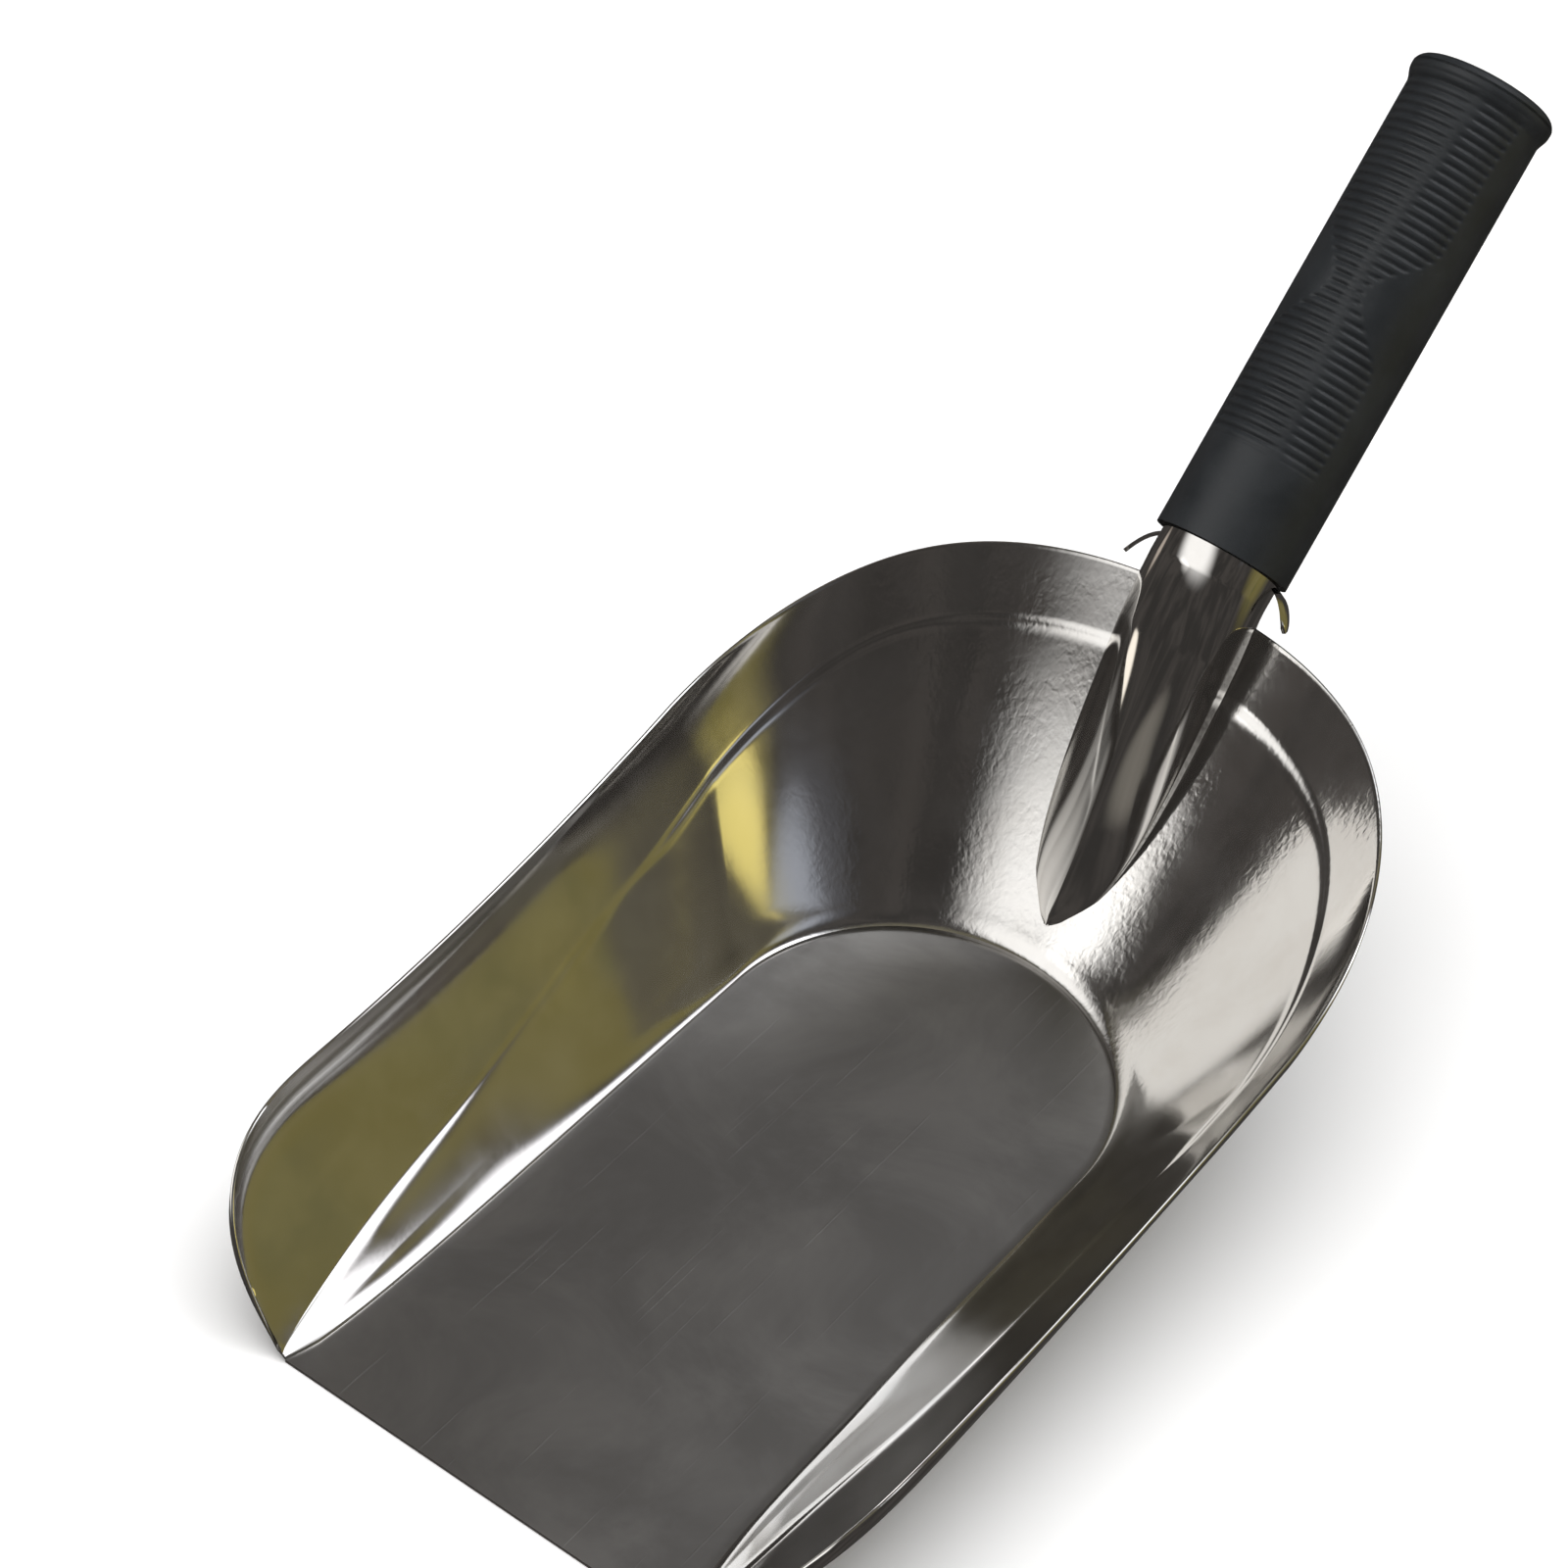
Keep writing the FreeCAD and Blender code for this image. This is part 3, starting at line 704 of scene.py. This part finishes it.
def scratches(nodes, turn, fineness, threshold):
    """Sparse hair-thin lines in one direction."""
    lines = nodes.noise(nodes.mapped((fineness, 12, 12), (0, 0, turn)), 1.0, 2.0, 0.5)
    return nodes.ramp(lines, threshold, threshold + 0.05)


DULL_DARK, DULL_PALE = (0.26, 0.252, 0.24, 1), (0.38, 0.37, 0.352, 1)
BRIGHT_DARK, BRIGHT_PALE = (0.66, 0.645, 0.62, 1), (0.72, 0.71, 0.69, 1)
PEEL_HEIGHT, GRAIN_HEIGHT = 0.00036, 0.00002    # metres


def pan_steel():
    """Dull rubbed floor and brighter walls, dimpled where the back wall was drawn."""
    material, nodes = new_material("pan_steel_polished")
    level = nodes.mark("level")
    wall = nodes.ramp(level, 0.002, 0.012)
    smudge = nodes.noise(nodes.mapped((22, 22, 22)), 1.0, 5.0, 0.6, 0.6)
    blotch = nodes.noise(nodes.mapped((60, 60, 60)), 1.0, 4.0, 0.55, 0.3)
    grain = nodes.noise(nodes.mapped((1500, 1500, 1500)), 1.0, 2.0, 0.6)
    hair = nodes.math("MAXIMUM", scratches(nodes, 20, 1400, 0.66), scratches(nodes, -52, 1200, 0.67))
    hair = nodes.math("MULTIPLY", hair, nodes.math("SUBTRACT", 1.0, wall))
    floor_colour = nodes.mix(nodes.ramp(smudge, 0.35, 0.7), DULL_DARK, DULL_PALE)
    wall_colour = nodes.mix(nodes.ramp(blotch, 0.3, 0.7), BRIGHT_DARK, BRIGHT_PALE)
    floor_rough = nodes.ramp(smudge, 0.3, 0.75, 0.36, 0.27)
    wall_rough = nodes.ramp(blotch, 0.3, 0.7, 0.10, 0.15)
    rough = nodes.blend(wall, floor_rough, wall_rough)
    rough = nodes.math("ADD", rough, nodes.math("MULTIPLY", hair, 0.05))
    peel = nodes.noise(nodes.mapped((700, 700, 330)), 1.0, 1.5, 0.5, 0.3)
    from_middle = nodes.math("ABSOLUTE", nodes.math("SUBTRACT", nodes.mark("around"), 0.5), None)
    drawn = nodes.ramp(from_middle, 0.10, 0.20, 1.0, 0.12)
    patchy = nodes.ramp(nodes.noise(nodes.mapped((50, 50, 50)), 1.0, 2.0), 0.35, 0.62, 0.3, 1.0)
    below_crease = nodes.ramp(level, 0.75, 1.0, 1.0, 0.15)
    drawn = nodes.math("MULTIPLY", nodes.math("MULTIPLY", drawn, patchy), below_crease)
    peel = nodes.math("MULTIPLY", peel, nodes.math("MULTIPLY", wall, drawn))
    normal = nodes.bump(peel, PEEL_HEIGHT, 1.0)
    marks = nodes.math("ADD", nodes.blend(wall, grain, 0.5), hair)
    normal = nodes.bump(marks, GRAIN_HEIGHT, 0.35, normal)
    nodes.shader(base_color=nodes.mix(wall, floor_colour, wall_colour), metallic=1.0, roughness=rough,
                 normal=normal)
    return material


def socket_steel():
    material, nodes = new_material("socket_steel_mirror")
    wave = nodes.noise(nodes.mapped((45, 16, 16)), 1.0, 1.5, 0.5, 0.3)
    haze = nodes.noise(nodes.mapped((300, 300, 300)), 1.0, 4.0, 0.6)
    colour = nodes.mix(haze, BRIGHT_DARK, BRIGHT_PALE)
    normal = nodes.bump(wave, 0.0006, 0.5)
    nodes.shader(base_color=colour, metallic=1.0, roughness=nodes.ramp(haze, 0.3, 0.7, 0.035, 0.07),
                 normal=normal)
    return material


def weld_steel():
    material, nodes = new_material("weld_steel_ground")
    grain = nodes.noise(nodes.mapped((1200, 400, 400)), 1.0, 3.0, 0.6)
    ripple = nodes.noise(nodes.mapped((250, 250, 250)), 1.0, 2.0, 0.5)
    colour = nodes.mix(ripple, (0.52, 0.50, 0.47, 1), (0.66, 0.65, 0.63, 1))
    nodes.shader(base_color=colour, metallic=1.0, roughness=nodes.ramp(grain, 0.3, 0.7, 0.2, 0.34),
                 normal=nodes.bump(ripple, 0.0002, 0.6))
    return material


def grip_rubber():
    material, nodes = new_material("grip_rubber_black")
    grain = nodes.noise(nodes.mapped((2200, 2200, 2200)), 1.0, 2.0, 0.6)
    wear = nodes.noise(nodes.mapped((70, 70, 70)), 1.0, 5.0, 0.6)
    dust = nodes.ramp(nodes.noise(nodes.mapped((420, 420, 420)), 1.0, 4.0, 0.7), 0.6, 0.8)
    colour = nodes.mix(nodes.ramp(wear, 0.3, 0.75), (0.013, 0.015, 0.017, 1), (0.020, 0.0225, 0.025, 1))
    colour = nodes.mix(nodes.math("MULTIPLY", dust, 0.12), colour, (0.09, 0.09, 0.09, 1))
    nodes.shader(base_color=colour, roughness=nodes.ramp(wear, 0.3, 0.75, 0.40, 0.52),
                 specular_ior_level=0.5, normal=nodes.bump(grain, 0.00006, 0.5))
    return material


# ---------------------------------------------------------------- studio
STUDIO_FLOOR_HALF = 4.0
OVERHEAD_SIZE, OVERHEAD_HEIGHT, OVERHEAD_POWER = 5.0, 3.2, 150


def make_floor():
    """A pale surface, which glossy rays pass, so that the steel's flanks stay dark."""
    mesh = bpy.data.meshes.new("studio_floor")
    half = STUDIO_FLOOR_HALF
    corners = [(-half, -half, 0), (half, -half, 0), (half, half, 0), (-half, half, 0)]
    mesh.from_pydata(corners, [], [(0, 1, 2, 3)])
    floor = bpy.data.objects.new("studio_floor", mesh)
    bpy.context.scene.collection.objects.link(floor)
    material, nodes = new_material("studio_floor_pale")
    nodes.shader(base_color=(0.92, 0.92, 0.92, 1), roughness=0.7, specular_ior_level=0.2)
    mesh.materials.append(material)
    floor.visible_glossy = False


def facing(azimuth, elevation):
    """Unit direction: azimuth 0 is the handle's side, 90 is +x, and elevation is above level."""
    a, e = math.radians(azimuth), math.radians(elevation)
    return Vector((math.sin(a) * math.cos(e), math.cos(a) * math.cos(e), math.sin(e)))


def soft_patch(nodes, direction, patch):
    """A soft-edged panel of the studio, as seen from the scoop; sizes are half angles."""
    azimuth, elevation, half_width, half_height, soft, colour = patch
    ahead = facing(azimuth, elevation)
    side = facing(azimuth + 90, 0)
    up = side.cross(ahead) * -1
    a = nodes.vector("DOT_PRODUCT", direction, tuple(side / math.sin(math.radians(half_width))))
    b = nodes.vector("DOT_PRODUCT", direction, tuple(up / math.sin(math.radians(half_height))))
    spread = nodes.math("ADD", nodes.math("MULTIPLY", a, a), nodes.math("MULTIPLY", b, b))
    inside = nodes.ramp(spread, 1 - soft, 1 + soft, 1.0, 0.0)
    front = nodes.ramp(nodes.vector("DOT_PRODUCT", direction, tuple(ahead)), 0.0, 0.3)
    return nodes.vector("SCALE", colour, scale=nodes.math("MULTIPLY", inside, front))


STUDIO_PATCHES = (
    # azimuth, elevation, half width, half height, softness, colour
    (-147, 44, 35, 17.5, 0.7, (1.32, 1.31, 1.3)),   # main softbox in front
    (-143, 27, 11, 5, 0.9, (0.8, 0.79, 0.78)),      # its lower edge
    (24, 64, 26, 9, 0.7, (1.6, 1.65, 1.75)),        # long window, high on the handle's side
    (46, 52, 15, 11, 0.6, (1.9, 1.9, 2.0)),         # its lower end
    (0, 90, 24, 24, 0.8, (0.12, 0.11, 0.07)),       # ceiling straight above
    (84, 29, 13, 4, 0.8, (0.34, 0.37, 0.43)),       # pale strip under the window
    (97, 30, 11, 5, 0.9, (0.06, 0.065, 0.08)),      # blue-grey card
    (75, 19, 8, 5, 0.5, (0.95, 0.80, 0.26)),        # bright yellow card
    (-83, -8, 6, 5, 0.7, (0.5, 0.43, 0.37)),        # warm card on the -x side
    (-131, -6, 8, 3, 0.6, (1.4, 1.3, 1.15)),        # small warm card in front
    (168, -3, 10, 3, 0.8, (0.16, 0.15, 0.13)),      # dim card beside it
    (-46, 56, 32, 18, 1.0, (0.07, 0.062, 0.056)),   # dim ceiling
)
OLIVE_PATCH = (59, 8, 31, 28, 0.4)    # the same five numbers; its colour is uneven


def make_studio():
    """A dark world with soft panels for the steel to reflect, and one soft overhead light."""
    world = bpy.data.worlds.new("studio")
    bpy.context.scene.world = world
    world.use_nodes = True
    nodes = Nodes(world.node_tree)
    direction = nodes.add("ShaderNodeTexCoord").outputs["Generated"]
    uneven = nodes.noise(direction, 5.0, 3.0, 0.6, 0.4)
    leafy = nodes.noise(direction, 7.0, 4.0, 0.6, 0.8)
    olive = nodes.mix(nodes.ramp(leafy, 0.27, 0.42), (0.055, 0.075, 0.025, 1), (0.155, 0.132, 0.022, 1))
    total = nodes.mix(nodes.ramp(uneven, 0.4, 0.65), (0.045, 0.042, 0.040, 1), (0.075, 0.068, 0.064, 1))
    for patch in STUDIO_PATCHES + (OLIVE_PATCH + (olive,),):
        total = nodes.vector("ADD", total, soft_patch(nodes, direction, patch))
    background = nodes.add("ShaderNodeBackground")
    nodes.feed(background.inputs[0], total)
    output = nodes.add("ShaderNodeOutputWorld")
    nodes.tree.links.new(background.outputs[0], output.inputs[0])
    light = bpy.data.lights.new("overhead_soft", "AREA")
    light.shape, light.size, light.energy = "DISK", OVERHEAD_SIZE, OVERHEAD_POWER
    lamp = bpy.data.objects.new("overhead_soft", light)
    lamp.location = (0, 0, OVERHEAD_HEIGHT)
    lamp.visible_glossy = False
    bpy.context.scene.collection.objects.link(lamp)
    bpy.context.scene.view_settings.view_transform = "Standard"


# ---------------------------------------------------------------- camera
CAMERA_AZIMUTH, CAMERA_ELEVATION, CAMERA_ROLL = 32.14, 42.60, 6.67
CAMERA_DISTANCE = 968.1
CAMERA_TARGET = np.array((-62.8, 186.2, 30.0))
CAMERA_LENS = 94.67


def make_camera():
    a, e, r = (math.radians(v) for v in (CAMERA_AZIMUTH, CAMERA_ELEVATION, CAMERA_ROLL))
    forward = Vector((-math.sin(a) * math.cos(e), math.cos(a) * math.cos(e), -math.sin(e)))
    level = Vector((math.cos(a), math.sin(a), 0))
    upright = level.cross(forward)
    right = level * math.cos(r) + upright * math.sin(r)
    up = upright * math.cos(r) - level * math.sin(r)
    data = bpy.data.cameras.new("camera")
    data.lens, data.sensor_width = CAMERA_LENS, 36
    data.clip_start = 0.01
    camera = bpy.data.objects.new("camera", data)
    eye = Vector(place(CAMERA_TARGET)) - forward * CAMERA_DISTANCE * MM
    camera.matrix_world = Matrix((right, up, -forward)).transposed().to_4x4()
    camera.location = eye
    bpy.context.scene.collection.objects.link(camera)
    bpy.context.scene.camera = camera


make_camera()
make_floor()
make_studio()
make_pan(pan_steel())
make_socket(socket_steel())
make_grip(grip_rubber())
ground_steel = weld_steel()
for weld in ("flank_welds", "seam_weld"):
    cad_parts[weld].material_slots[0].material = ground_steel
